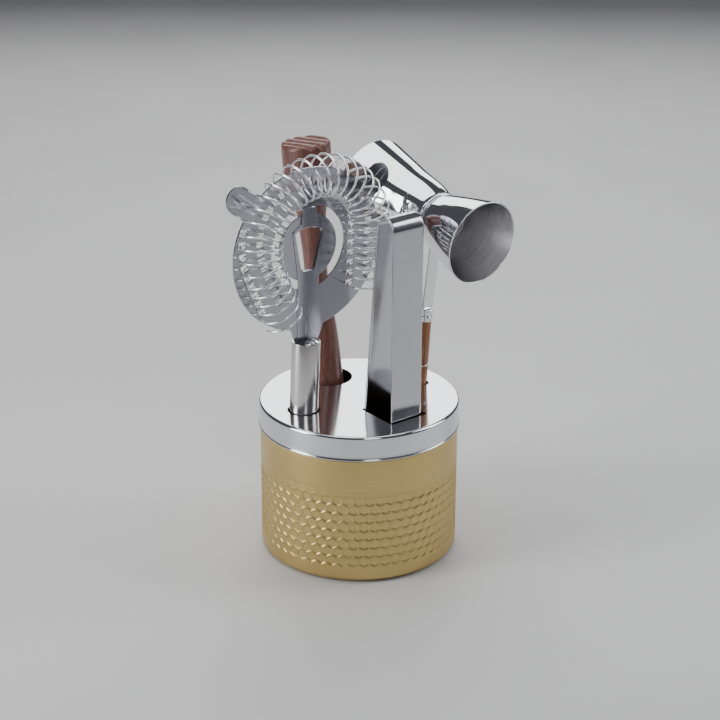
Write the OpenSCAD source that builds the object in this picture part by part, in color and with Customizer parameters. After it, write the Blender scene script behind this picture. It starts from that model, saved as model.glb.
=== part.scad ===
// Bar tool set: a round caddy whose lid holds a Hawthorne strainer, a muddler,
// spring tongs and a double jigger. Millimetres, +Z up, origin at the centre of
// the base, on the surface that the caddy stands on.

/* [Caddy] */
// Outer radius of the cup
cup_r = 54.4; // [50:0.2:58]
// Height of the cup's plain wall, up to the step that the lid slides over
cup_step_z = 72.6; // [66:0.2:76]
// Sheet thickness of the cup
cup_t = 0.8; // [0.6:0.1:1.2]
// Height of the lid's top face
lid_top = 87; // [84:0.5:92]
// Outer radius of the lid
lid_r = 55; // [54:0.2:58.5]
// Radius of the lid's shoulder
lid_edge_r = 1.6; // [0.8:0.1:3]

/* [Strainer] */
// Where the strainer's axis crosses the lid: X
strainer_x = -29.9; // [-31:0.1:-28]
// Where the strainer's axis crosses the lid: Y
strainer_y = -18.8; // [-20:0.1:-17]
// Turn of the strainer's plate about its handle
strainer_yaw = 37; // [30:1:44]
// Lean of the strainer towards +X
strainer_lean = 2.2; // [0:0.1:3]
// Lean of the strainer towards the back
strainer_back = 0.6; // [0:0.1:3]
// Outer diameter of the tubular handle
tube_d = 15.5; // [14:0.1:16.4]
// How far the handle stands above the lid
tube_up = 40; // [30:0.5:50]
// Half of the perforated plate's width
plate_r = 46.8; // [44:0.2:50]
// Half of the perforated plate's height
plate_high = 44.6; // [42:0.2:48]
// Height of the plate's middle above the lid, along the handle
plate_z = 93; // [90:0.2:100]
// Turns of the spring
spring_turns = 33; // [24:1:40]
// Radius of the arch that the spring is bent into
spring_ring_r = 34.8; // [33:0.2:36]
// Radius of each turn of the spring
spring_r = 10.8; // [9:0.1:11.4]
// Diameter of the spring's wire
wire_d = 1.2; // [0.8:0.1:1.4]

/* [Muddler] */
// Where the muddler's axis crosses the lid: X
muddler_x = -19.4; // [-20:0.1:-18]
// Where the muddler's axis crosses the lid: Y
muddler_y = 27; // [26:0.1:28]
// Lean of the muddler towards -X
muddler_lean = 4.2; // [3:0.1:5]
// Radius of the toothed head
head_r = 13.4; // [12:0.1:13.6]
// How far the muddler stands above the lid
muddler_up = 136.5; // [120:0.5:140]

/* [Tongs] */
// Where the tongs' axis crosses the lid: X
tongs_x = 18.0; // [17:0.1:19]
// Where the tongs' axis crosses the lid: Y
tongs_y = -21.5; // [-22.5:0.1:-20.5]
// Direction in which the tongs open
tongs_yaw = -52; // [-56:1:-48]
// Width of the tongs' strip
strip_w = 20; // [16:0.5:21]
// Thickness of the tongs' strip
strip_t = 1.2; // [0.8:0.1:1.6]
// Outer radius of the bend at the top
bow_r = 7; // [6:0.1:8]
// Height of the bend's centre above the lid
bow_z = 106.2; // [100:0.2:112]
// Angle that each leg stands away from the tongs' axis
splay = 2.66; // [2:0.02:2.7]

/* [Jigger] */
// Where the jigger's grip crosses the lid: X
jigger_x = 33.85; // [33:0.1:36]
// Where the jigger's grip crosses the lid: Y
jigger_y = 18.9; // [18:0.1:20]
// Direction in which the small cup points
jigger_yaw = -50.3; // [-54:0.1:-46]
// Radius of the small cup's mouth
small_r = 23; // [20:0.1:24]
// Length of the small cup
small_len = 35.3; // [30:0.2:42]
// Radius of the large cup's mouth
large_r = 25.3; // [22:0.1:26]
// Length of the large cup
large_len = 55.2; // [48:0.2:58]
// Radius of the waist where the two cups meet
waist_r = 14.5; // [10:0.1:15]
// Diameter of the wooden grip
grip_d = 7.5; // [6:0.1:8.4]

/* [Hidden] */
$fn = 96;

// Caddy
base_z = 0.8;                     // underside of the cup's rolled corner
pad_r = 48.8;                     // anti-slip pad, set into the base
pad_t = 1.6;
corner_r = 3;                     // outer radius of the cup's bottom corner
floor_z = pad_t + cup_t;          // inside floor of the cup
neck_r = cup_r - cup_t;           // outer radius of the step under the lid
lid_t = 0.8;
hem_r = 0.5;                      // rolled hem at the lid's lower edge
hem_z = 73.5;
rest_gap = 0.05;                  // between the lid and the cup's rim
tube_hole_r = 8.75;
muddler_hole = [-18, 27.3, 13.9]; // X, Y and radius
grip_hole_r = 4.8;
slot_at = [19, -20.7];            // middle of the slot for the tongs
slot_len = 26;                    // in the direction in which the tongs open
slot_w = 24.2;
foot_z = -84.2;                   // lower end of the tools, below the lid's top

// Strainer
plate_t = 0.9;
tube_wall = 0.8;
ear_angle = 36;                   // above the horizontal, on each side
ear_r = 7.5;
ear_reach = 54.6;                 // centre of the ear's round end
plate_mid = -1.2;                 // the disc's centre, beside the handle's axis
plate_down = 1.3;                 // the disc's centre, below the plate's middle
spring_mid = [-2.3, 6.6];         // centre of the spring's arch, from the plate's middle
spring_from = 205;                // the arch's left end, and its straight arms
left_arm = 28;
right_arm = 33;
spring_out = 9.3;                 // the spring's centre line, in front of the plate
wire_sides = 6;
wire_steps = 12;                  // lengths of wire in one turn
arch_len = spring_ring_r * spring_from * PI / 180;
turn_len = (left_arm + arch_len + right_arm) / spring_turns;
cross_turn = asin(spring_out / spring_r) / 360;
cross_reach = sqrt(spring_r * spring_r - spring_out * spring_out);
perf_len = 5;
crescent_r = 23.2;
crescent_w = 4.8;
crescent_span = [-78, 72];
tail_in = 16;                     // tongue of the plate inside the handle

// Muddler
tooth_turn = 53;                  // direction of the head's ridges

// Tongs
leg_len = 189.4;
leg_bend_at = 104;                // the legs curve inwards below this
leg_bend = 5.2;                   // how far in the tips come
claw_len = 3;
hinge_gap = 0.05;

// Jigger
ferrule_z = 44.5;                 // top of the ferrule above the lid
grip_top = 37.5;
head_at = [37.1, 18.7, 130.9];    // foot of the arm, on top of the ferrule
arm_up = 54;                      // from there to the waist's centre
arm_w = 7;
arm_t = 1.6;
arm_sunk = 1.5;                   // tongue of the arm inside the ferrule
cup_wall = 0.7;
ring_half = 1;
band_z = 11;                      // inlaid ring in the grip

// ---- Places of the tools ------------------------------------------------

module at_strainer() {
    translate([strainer_x, strainer_y, lid_top])
        rotate([-strainer_back, strainer_lean, 0]) rotate([0, 0, strainer_yaw]) children();
}

module at_plate() {
    at_strainer() translate([0, 0, plate_z]) children();
}

module at_muddler() {
    translate([muddler_x, muddler_y, lid_top])
        rotate([-1.3, -muddler_lean, 0]) children();
}

module at_tongs() {
    translate([tongs_x, tongs_y, lid_top])
        rotate([2.1, 1.64, 0]) rotate([0, 0, tongs_yaw]) children();
}

module at_bow() {
    at_tongs() translate([0, 0, bow_z]) children();
}

module at_grip() {
    translate([jigger_x, jigger_y, lid_top]) rotate([0.2, 3.2, 0]) children();
}

module at_waist() {
    translate(head_at) rotate([4.42, 5.38, 0]) rotate([0, 0, jigger_yaw])
        translate([0, 0, arm_up]) children();
}

// An outline drawn in X and Z, given thickness t about Y = 0
module upright(t) {
    translate([0, t / 2, 0]) rotate([90, 0, 0]) linear_extrude(t) children();
}

// Points of an arc in a profile, from one angle to another
function arc(cx, cy, r, from, to, steps = 8) =
    [for (i = [0 : steps]) let (a = from + (to - from) * i / steps)
        [cx + r * cos(a), cy + r * sin(a)]];

// ---- Caddy --------------------------------------------------------------

module cup_shell() {
    inner_r = cup_r - cup_t;
    color("darkgoldenrod") rotate_extrude() polygon(concat(
        [[0, pad_t], [pad_r + 0.2, pad_t], [pad_r + 0.2, base_z]],
        arc(cup_r - corner_r, base_z + corner_r, corner_r, -90, 0),
        [[cup_r, cup_step_z], [neck_r, cup_step_z + cup_t],
         [neck_r, lid_top - lid_t - rest_gap],
         [neck_r - cup_t, lid_top - lid_t - rest_gap],
         [neck_r - cup_t, cup_step_z], [inner_r, cup_step_z - cup_t]],
        arc(inner_r - 2, floor_z + 2, 2, 0, -90),
        [[0, floor_z]]));
}

module base_pad() {
    groove = 0.5;
    color("dimgray") difference() {
        cylinder(r = pad_r, h = pad_t);
        for (r = [12 : 12 : 36])
            rotate_extrude() translate([r, -groove]) square([2, 2 * groove]);
    }
}

module lid_profile() {
    skirt_in = lid_r - 0.7;
    polygon(concat(
        [[0, lid_top - lid_t], [skirt_in - 0.5, lid_top - lid_t],
         [skirt_in, lid_top - lid_t - 0.5],
         [skirt_in, hem_z], [lid_r, hem_z]],
        arc(lid_r - lid_edge_r, lid_top - lid_edge_r, lid_edge_r, 0, 90),
        [[0, lid_top]]));
    translate([lid_r - hem_r + 0.4, hem_z]) circle(r = hem_r);
}

module lid() {
    color("silver") difference() {
        rotate_extrude() lid_profile();
        translate([strainer_x, strainer_y, lid_top - 3]) cylinder(r = tube_hole_r, h = 6);
        translate([muddler_hole[0], muddler_hole[1], lid_top - 3])
            cylinder(r = muddler_hole[2], h = 6);
        translate([jigger_x, jigger_y, lid_top - 3]) cylinder(r = grip_hole_r, h = 6);
        translate([slot_at[0], slot_at[1], lid_top - 3]) rotate([0, 0, tongs_yaw])
            translate([-slot_len / 2, -slot_w / 2, 0]) cube([slot_len, slot_w, 6]);
    }
}

// ---- Strainer -----------------------------------------------------------

// Outline of the plate about its centre: disc, two ears and the tail
module plate_outline() {
    tail_z = tube_up - plate_z;
    translate([plate_mid, -plate_down]) scale([plate_r, plate_high]) circle(r = 1);
    for (s = [-1, 1]) translate([plate_mid, 0]) mirror([s < 0 ? 1 : 0, 0]) rotate(ear_angle) {
        translate([plate_r - 10, -ear_r]) square([ear_reach - plate_r + 10, 2 * ear_r]);
        translate([ear_reach, 0]) circle(r = ear_r);
    }
    polygon([[-12, -40], [-7.4, tail_z + 0.6], [-5.8, tail_z + 0.6], [-5.8, tail_z - tail_in],
        [5.8, tail_z - tail_in], [5.8, tail_z + 0.6], [7.4, tail_z + 0.6], [12, -40]]);
}

// Window in the middle of the plate, wider at the top
module window_outline() {
    polygon([[-9.3, 8.6], [-6.6, 10.4], [-1.2, 11.2], [4.2, 10.4], [6.9, 8.6], [2.5, -12.4],
        [-4.9, -12.4]]);
}

// Curved slot beside the window
module crescent_outline() {
    mid_r = crescent_r - crescent_w / 2;
    from = crescent_span[0];
    to = crescent_span[1];
    polygon(concat(arc(0, 0, crescent_r, from, to, 24),
        arc(0, 0, crescent_r - crescent_w, to, from, 24)));
    for (a = crescent_span)
        translate([mid_r * cos(a), mid_r * sin(a)]) circle(d = crescent_w, $fn = 24);
}

// Whether a hole there is wholly inside the plate's edge
function in_plate(p) =
    let (edge = perf_len * 0.6)
    norm([(p[0] - plate_mid) / (plate_r - edge), (p[1] + plate_down) / (plate_high - edge)]) < 1;

// A rectangular hole u turns along the spring, beside its centre line
module perforation(u, beside, width) {
    p = spring_centre(u);
    a = spring_angle(u);
    at = p + beside * [cos(a), sin(a)];
    if (in_plate(at)) translate(at) rotate(a) square([perf_len, width], center = true);
}

// Rectangular holes that the spring's wire is threaded through
module perforations() {
    for (i = [0 : spring_turns - 1]) {
        perforation(i + 1 - cross_turn, cross_reach, 3.4);
        perforation(i + 0.5 + cross_turn, -cross_reach, 2.6);
    }
}

// Raised rib up the middle, round the window and down the tail
module rib_outline() {
    difference() {
        polygon([[-5.6, 24], [3.2, 24], [4, 14], [9, 10], [6.2, -14], [6.4, -48],
            [-6.4, -48], [-7.6, -14], [-11.4, 10], [-6.4, 14]]);
        window_outline();
    }
}

// Small raised boss on the tail, above the handle
module boss_outline() {
    hull() for (y = [-48, -41]) translate([0, y]) circle(r = 1.8, $fn = 32);
}

module strainer_plate() {
    color("gainsboro") at_plate() {
        upright(plate_t) difference() {
            plate_outline();
            window_outline();
            for (s = [0, 1]) translate([plate_mid, 0]) mirror([s, 0]) crescent_outline();
            perforations();
        }
        translate([0, -plate_t / 2 - 0.3, 0]) upright(0.6) rib_outline();
        translate([0, -plate_t / 2 - 0.75, 0]) upright(0.5) boss_outline();
    }
}

// How far along the arch the spring has come after u turns, from its left end
function arch_at(u) = min(max(u * turn_len - left_arm, 0), arch_len);

// Which way is outwards there
function spring_angle(u) = spring_from * (1 - arch_at(u) / arch_len);

// Centre line of the spring: a straight arm, the arch, and another straight arm
function spring_centre(u) =
    let (a = spring_angle(u), before = max(left_arm - u * turn_len, 0),
         after = max(u * turn_len - left_arm - arch_len, 0))
    spring_mid + spring_ring_r * [cos(a), sin(a)] + (before - after) * [-sin(a), cos(a)];

// A point on the spring's wire, u turns from its left end
function spring_at(u) =
    let (a = spring_angle(u), c = spring_centre(u), twist = 360 * u, r = spring_r * cos(twist))
    [c[0] + r * cos(a), -spring_out - spring_r * sin(twist), c[1] + r * sin(a)];

// A ring of points round the wire at that place, square to it
function wire_ring(u) =
    let (p = spring_at(u), along = spring_at(u + 0.002) - spring_at(u - 0.002),
         t = along / norm(along), c = spring_centre(u), centre = [c[0], -spring_out, c[1]],
         out = (p - centre) / norm(p - centre),
         side = cross(t, out), n = side / norm(side), m = cross(n, t))
    [for (k = [0 : wire_sides - 1]) let (a = 360 * k / wire_sides)
        p + (m * cos(a) + n * sin(a)) * wire_d / 2];

module strainer_spring() {
    rings = spring_turns * wire_steps;
    points = [for (i = [0 : rings]) each wire_ring(i / wire_steps)];
    last = rings * wire_sides;
    sides = [for (i = [0 : rings - 1]) for (k = [0 : wire_sides - 1])
        let (a = i * wire_sides + k, b = i * wire_sides + (k + 1) % wire_sides)
        each [[a, b, b + wire_sides], [a, b + wire_sides, a + wire_sides]]];
    start = [[for (k = [wire_sides - 1 : -1 : 0]) k]];
    finish = [[for (k = [0 : wire_sides - 1]) last + k]];
    color("silver") at_plate() polyhedron(points, concat(sides, start, finish));
}

module strainer_tube() {
    color("gainsboro") at_strainer() difference() {
        translate([0, 0, foot_z + 2]) cylinder(d = tube_d, h = tube_up - foot_z - 2);
        translate([0, 0, foot_z + 1])
            cylinder(d = tube_d - 2 * tube_wall, h = tube_up - foot_z + 2);
    }
}

module strainer_tube_plug() {
    plug_r = tube_d / 2 - tube_wall;
    color("silver") at_strainer() difference() {
        union() {
            translate([0, 0, tube_up - tail_in - 2]) cylinder(r = plug_r, h = tail_in + 2);
            translate([0, 0, tube_up]) cylinder(r1 = tube_d / 2 - 0.2, r2 = tube_d / 2 - 0.8, h = 0.5);
        }
        translate([-5.85, -0.5, tube_up - tail_in - 0.05]) cube([11.7, 1, tail_in + 2]);
    }
}

module strainer_tube_cap() {
    color("silver") at_strainer() translate([0, 0, foot_z]) rotate_extrude() polygon(concat(
        [[0, 0]], arc(tube_d / 2 - 1.8, 2, 2, -90, -26),
        [[tube_d / 2, 2], [tube_d / 2 - tube_wall, 2], [tube_d / 2 - tube_wall, 8], [0, 8]]));
}

// ---- Muddler ------------------------------------------------------------

module muddler() {
    head_z = muddler_up - 30;
    color("saddlebrown") at_muddler() difference() {
        rotate_extrude() polygon(concat(
            [[0, foot_z + 0.3]], arc(8.6, foot_z + 3.3, 3, -90, 0, 6),
            [[11.4, -50], [10.3, 0], [8.6, 33], [6.8, 48], [6.3, 58], [6.5, 70], [7.4, 86],
             [8.9, 99], [11.4, head_z - 2.5], [12.9, head_z + 1.5], [head_r, head_z + 8]],
            arc(head_r - 1.5, muddler_up - 1.5, 1.5, 0, 90, 5), [[0, muddler_up]]));
        rotate([0, 0, tooth_turn]) for (x = [-8.4, -2.8, 2.8, 8.4])
            translate([x, 0, muddler_up]) rotate([0, 45, 0]) cube([2.9, 60, 2.9], center = true);
    }
}

// ---- Tongs --------------------------------------------------------------

module tongs_bow() {
    inner_r = bow_r - strip_t;
    color("silver") at_bow() rotate([90, 0, 0]) rotate(splay)
        rotate_extrude(angle = 180 - 2 * splay)
            translate([inner_r, -strip_w / 2]) square([strip_t, strip_w]);
}

// One leg in its own frame: outer face at X = bow_r, running down
module leg() {
    inner_r = bow_r - strip_t;
    tip_x = inner_r - leg_bend;
    difference() {
        upright(strip_w) polygon([[bow_r, -hinge_gap], [bow_r, -leg_bend_at],
            [bow_r - leg_bend, -leg_len], [tip_x - claw_len, -leg_len - 0.4],
            [tip_x - claw_len, -leg_len + 1], [tip_x + 0.1, -leg_len + 2],
            [inner_r, -leg_bend_at], [inner_r, -hinge_gap]]);
        for (y = [-6, 0, 6]) translate([tip_x - claw_len, y, -leg_len])
            rotate([0, 0, 45]) cube([3, 3, 6], center = true);
    }
}

module tongs_near_leg() {
    color("silver") at_bow() rotate([0, -splay, 0]) leg();
}

module tongs_far_leg() {
    color("silver") at_bow() rotate([0, 0, 180]) rotate([0, -splay, 0]) leg();
}

// ---- Jigger -------------------------------------------------------------

// A conical cup with its floor at the waist, opening towards +Z
module measure_cup(mouth, length) {
    slope = (mouth - waist_r) / length;
    rotate_extrude() polygon([[0, ring_half], [waist_r, ring_half], [mouth, length],
        [mouth - cup_wall, length], [waist_r - cup_wall + slope * 1.2, ring_half + cup_wall],
        [0, ring_half + cup_wall]]);
}

module jigger_large_cup() {
    color("gainsboro") at_waist() rotate([0, -90, 0]) measure_cup(large_r, large_len);
}

module jigger_small_cup() {
    color("gainsboro") at_waist() rotate([0, 90, 0]) measure_cup(small_r, small_len);
}

module jigger_waist_ring() {
    color("silver") at_waist() rotate([0, 90, 0])
        cylinder(r = waist_r + 0.3, h = 2 * ring_half, center = true);
}

module jigger_arm() {
    color("silver") at_waist() difference() {
        translate([-arm_t / 2, -arm_w / 2, -arm_up - arm_sunk])
            cube([arm_t, arm_w, arm_up + arm_sunk - 8]);
        rotate([0, 90, 0]) cylinder(r = waist_r + 0.32, h = 6, center = true);
    }
}

module ferrule_ring(z, h, r) {
    color("silver") at_grip() translate([0, 0, z]) rotate_extrude() polygon(concat(
        [[0, 0]], arc(r - 0.6, 0.6, 0.6, -90, 0, 4), arc(r - 0.6, h - 0.6, 0.6, 0, 90, 4),
        [[0, h]]));
}

module jigger_ferrule_lower() {
    ferrule_ring(grip_top, 4.4, 4.1);
}

module jigger_ferrule_upper() {
    ferrule_ring(grip_top + 4.4, ferrule_z - grip_top - 4.4, 4.1);
}

module jigger_grip() {
    r = grip_d / 2;
    color("sienna") at_grip() rotate_extrude() polygon([[0, foot_z + 2.2], [3.4, foot_z + 2.2],
        [4.1, foot_z + 22], [3.9, -20], [r, band_z - 0.5], [r - 0.3, band_z], [r - 0.3, band_z + 1],
        [r, band_z + 1.5], [r, grip_top], [0, grip_top]]);
}

module jigger_grip_band() {
    r = grip_d / 2;
    color("silver") at_grip() translate([0, 0, band_z]) difference() {
        cylinder(r = r + 0.05, h = 1);
        translate([0, 0, -1]) cylinder(r = r - 0.3, h = 3);
    }
}

module jigger_grip_cap() {
    color("silver") at_grip() translate([0, 0, foot_z - 0.2]) rotate_extrude() polygon(concat(
        [[0, 0]], arc(1.4, 2, 2, -90, 0, 6), [[3.4, 2.4], [0, 2.4]]));
}

cup_shell();
base_pad();
lid();
strainer_plate();
strainer_spring();
strainer_tube();
strainer_tube_plug();
strainer_tube_cap();
muddler();
tongs_bow();
tongs_near_leg();
tongs_far_leg();
jigger_large_cup();
jigger_small_cup();
jigger_waist_ring();
jigger_arm();
jigger_ferrule_upper();
jigger_ferrule_lower();
jigger_grip();
jigger_grip_band();
jigger_grip_cap();
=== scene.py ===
"""Looks of the bar tool set: a round honeycomb caddy with four bar tools in its lid.

Every piece is built in millimetres in the CAD frame (origin at the centre of the base, +Z up)
and turned to metres when its mesh is made.
"""

import logging
from dataclasses import dataclass
from enum import Enum
from math import radians
from typing import Callable, Sequence

import bmesh
import bpy
import numpy as np
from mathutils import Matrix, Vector
from mathutils.geometry import tessellate_polygon


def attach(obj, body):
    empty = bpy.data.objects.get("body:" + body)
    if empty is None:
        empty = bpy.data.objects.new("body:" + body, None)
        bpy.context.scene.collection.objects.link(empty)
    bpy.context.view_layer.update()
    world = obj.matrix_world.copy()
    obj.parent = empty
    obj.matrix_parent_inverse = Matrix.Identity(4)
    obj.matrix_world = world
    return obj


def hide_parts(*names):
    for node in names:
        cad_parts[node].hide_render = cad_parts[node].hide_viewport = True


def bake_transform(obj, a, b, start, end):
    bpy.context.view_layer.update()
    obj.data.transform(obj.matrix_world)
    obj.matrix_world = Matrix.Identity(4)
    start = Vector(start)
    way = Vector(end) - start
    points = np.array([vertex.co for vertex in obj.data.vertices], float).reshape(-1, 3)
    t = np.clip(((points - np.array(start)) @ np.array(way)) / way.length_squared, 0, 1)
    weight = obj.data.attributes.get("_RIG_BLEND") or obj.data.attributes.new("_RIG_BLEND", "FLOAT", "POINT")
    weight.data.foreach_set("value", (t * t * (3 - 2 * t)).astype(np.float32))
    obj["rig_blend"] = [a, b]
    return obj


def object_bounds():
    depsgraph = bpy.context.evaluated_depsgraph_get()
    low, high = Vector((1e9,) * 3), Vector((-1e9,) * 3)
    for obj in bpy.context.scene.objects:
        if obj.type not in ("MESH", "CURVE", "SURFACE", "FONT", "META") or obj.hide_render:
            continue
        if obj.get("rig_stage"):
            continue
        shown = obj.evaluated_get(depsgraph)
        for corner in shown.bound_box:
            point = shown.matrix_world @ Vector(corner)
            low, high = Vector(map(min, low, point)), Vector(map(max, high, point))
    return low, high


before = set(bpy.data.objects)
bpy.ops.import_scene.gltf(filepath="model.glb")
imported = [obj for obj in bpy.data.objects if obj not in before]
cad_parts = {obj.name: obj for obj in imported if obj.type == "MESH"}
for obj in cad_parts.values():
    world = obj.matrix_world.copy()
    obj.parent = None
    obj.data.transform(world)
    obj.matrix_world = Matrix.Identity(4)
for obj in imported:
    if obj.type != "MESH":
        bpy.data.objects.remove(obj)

MM = 0.001
TAU = 2.0 * np.pi
Array = np.ndarray
Pair = tuple[float, float]
Triple = tuple[float, float, float]
Socket = bpy.types.NodeSocket
Material = bpy.types.Material
Mover = Callable[[Array], Array]
log = logging.getLogger("bar_set")


class Grain(Enum):
    """Which way the fine marks of a finish run, in the mesh's UV map (u across, v along)."""

    ALONG_U = (0.03, 3.0)
    ALONG_V = (3.0, 0.03)
    EVEN = (0.6, 0.6)


# ---- Finishes ------------------------------------------------------------


class Nodes:
    """A small helper that adds shader nodes to one material."""

    def __init__(self, name: str) -> None:
        """Start a material with a Principled shader.

        Args:
            name: name of the material.
        """
        self.material = bpy.data.materials.new(name)
        self.material.use_nodes = True
        self.tree = self.material.node_tree
        self.shader = self.tree.nodes["Principled BSDF"]

    def put(self, node: bpy.types.Node, **sockets: object) -> None:
        """Set or link inputs of a node.

        Args:
            node: the node that owns the inputs.
            sockets: input name (underscores for spaces) to a constant or an output socket.
        """
        for key, value in sockets.items():
            socket = node.inputs[key.replace("_", " ")]
            if isinstance(value, Socket):
                self.tree.links.new(value, socket)
            else:
                socket.default_value = value

    def add(self, kind: str, **sockets: object) -> Socket:
        """Add a node and set or link its inputs.

        Args:
            kind: node type, without its ShaderNode prefix.
            sockets: as for put.

        Returns:
            The node's first output; its node attribute is the node itself.
        """
        node = self.tree.nodes.new("ShaderNode" + kind)
        self.put(node, **sockets)
        return node.outputs[0]

    def place(self, scale: Triple | None = None) -> Socket:
        """Object coordinates, or a stretched copy of them.

        Args:
            scale: optional stretch along x, y and z.

        Returns:
            The coordinates.
        """
        place = self.add("TexCoord").node.outputs["Object"]
        return place if scale is None else self.add("Mapping", Vector=place, Scale=scale)

    def noise(self, vector: Socket, scale: float, detail: float) -> Socket:
        """Add a noise texture.

        Args:
            vector: where the noise is read.
            scale: how fine it is.
            detail: octaves.

        Returns:
            Its factor output.
        """
        return self.add("TexNoise", Vector=vector, Scale=scale, Detail=detail).node.outputs["Fac"]

    def ranged(self, factor: Socket, low: float, high: float) -> Socket:
        """Map a 0.3 to 0.7 factor to a range.

        Args:
            factor: the factor to map.
            low: result at the factor's low end.
            high: result at its high end.

        Returns:
            The mapped value.
        """
        return self.add("MapRange", Value=factor, From_Min=0.3, From_Max=0.7, To_Min=low,
                        To_Max=high)

    def ramp(self, factor: Socket, *stops: tuple[float, Triple]) -> Socket:
        """Colour ramp.

        Args:
            factor: where on the ramp.
            stops: position and colour of each stop.

        Returns:
            The colour output.
        """
        colour = self.add("ValToRGB", Fac=factor)
        elements = colour.node.color_ramp.elements
        while len(elements) < len(stops):
            elements.new(0.5)
        for element, (place, tint) in zip(elements, stops):
            element.position = place
            element.color = (*tint, 1.0)
        return colour

    def finish(self, height: Socket, strength: float, depth: float, **sockets: object) -> Material:
        """Set the shader's inputs and its bump.

        Args:
            height: height of the bump.
            strength: how strong the bump is.
            depth: its depth in metres.
            sockets: other inputs of the shader, as for put.

        Returns:
            The finished material.
        """
        normal = self.add("Bump", Height=height, Strength=strength, Distance=depth)
        self.put(self.shader, Normal=normal, **sockets)
        return self.material


@dataclass(frozen=True)
class Metal:
    """Polished or brushed metal with a grain and faint smears."""

    name: str
    dark: Triple
    light: Triple
    rough: Pair
    grain: Grain = Grain.EVEN
    fineness: float = 4.0
    brush: float = 0.1
    anisotropy: float = 0.0

    def material(self) -> Material:
        """Build the material.

        Returns:
            The finished material.
        """
        n = Nodes(self.name)
        marks = n.add("Mapping", Vector=n.add("UVMap"), Scale=(*self.grain.value, 1.0))
        streaks = n.noise(marks, self.fineness, 6.0)
        tone = n.add("Mix", Factor=0.35, A=streaks, B=n.noise(n.place(), 18.0, 3.0))
        if self.anisotropy:
            tangent = n.add("Tangent")
            tangent.node.direction_type = "UV_MAP"
            tangent.node.uv_map = "UVMap"
            n.put(n.shader, Anisotropic=self.anisotropy, Tangent=tangent)
        return n.finish(streaks, self.brush, 0.00004, Metallic=1.0,
                        Base_Color=n.ramp(tone, (0.25, self.dark), (0.75, self.light)),
                        Roughness=n.ranged(tone, *self.rough))


@dataclass(frozen=True)
class Timber:
    """Oiled hardwood with fibres along v and a soft sheen."""

    name: str
    dark: Triple
    mid: Triple
    light: Triple
    rough: Pair = (0.3, 0.5)

    def material(self) -> Material:
        """Build the material.

        Returns:
            The finished material.
        """
        n = Nodes(self.name)
        along = n.place((1.0, 1.0, 0.07))
        fibre = n.noise(along, 1500.0, 3.0)
        tone = n.add("Mix", Factor=0.45, A=n.noise(along, 260.0, 4.0), B=fibre)
        colour = n.ramp(tone, (0.36, self.dark), (0.5, self.mid), (0.66, self.light))
        return n.finish(fibre, 0.25, 0.00015, Base_Color=colour, Coat_Weight=0.25,
                        Coat_Roughness=0.25, Roughness=n.ranged(fibre, *self.rough))


@dataclass(frozen=True)
class Dull:
    """Rubber, or a painted floor: no metal, a little mottling."""

    name: str
    dark: Triple
    light: Triple
    rough: float = 0.7
    scale: float = 90.0

    def material(self) -> Material:
        """Build the material.

        Returns:
            The finished material.
        """
        n = Nodes(self.name)
        mottle = n.noise(n.place(), self.scale, 5.0)
        return n.finish(mottle, 0.1, 0.0001,
                        Base_Color=n.ramp(mottle, (0.3, self.dark), (0.7, self.light)),
                        Roughness=n.ranged(mottle, self.rough - 0.05, self.rough + 0.05))


@dataclass(frozen=True)
class Finishes:
    """The finishes of the set."""

    gold: Metal = Metal("gold_brushed", (0.52, 0.385, 0.15), (0.74, 0.56, 0.24), (0.28, 0.42),
                        Grain.ALONG_U, 0.7, 0.5, 0.35)
    mirror: Metal = Metal("mirror_steel", (0.74, 0.75, 0.78), (0.80, 0.81, 0.84), (0.03, 0.07),
                          Grain.ALONG_U, 5.0, 0.015)
    satin: Metal = Metal("satin_steel", (0.36, 0.36, 0.39), (0.48, 0.48, 0.52), (0.08, 0.18),
                         Grain.ALONG_V, 7.0, 0.06)
    brushed: Metal = Metal("brushed_steel", (0.46, 0.45, 0.46), (0.78, 0.77, 0.78), (0.22, 0.36),
                           Grain.ALONG_U, 1.0, 0.3, 0.6)
    wire: Metal = Metal("wire_steel", (0.84, 0.84, 0.86), (0.92, 0.92, 0.94), (0.16, 0.26),
                        Grain.ALONG_V, 6.0, 0.03)
    handle: Metal = Metal("handle_steel", (0.58, 0.56, 0.56), (0.76, 0.74, 0.73), (0.16, 0.26),
                          Grain.ALONG_V, 0.8, 0.12)
    strip: Metal = Metal("strip_steel", (0.46, 0.46, 0.49), (0.62, 0.62, 0.65), (0.12, 0.20),
                         Grain.ALONG_U, 0.9, 0.06)
    cover: Metal = Metal("lid_steel", (0.68, 0.69, 0.72), (0.76, 0.77, 0.80), (0.08, 0.13),
                         Grain.ALONG_U, 0.8, 0.02)
    muddler: Timber = Timber("muddler_wood", (0.10, 0.034, 0.026), (0.165, 0.062, 0.046),
                             (0.235, 0.105, 0.082))
    grip: Timber = Timber("grip_wood", (0.16, 0.055, 0.02), (0.35, 0.135, 0.05),
                          (0.48, 0.21, 0.09))
    rubber: Dull = Dull("pad_rubber", (0.018, 0.018, 0.02), (0.04, 0.04, 0.042), 0.75)
    floor: Dull = Dull("pale_floor", (0.62, 0.62, 0.62), (0.66, 0.66, 0.66), 0.6, 6.0)


# ---- Surfaces ------------------------------------------------------------


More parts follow.
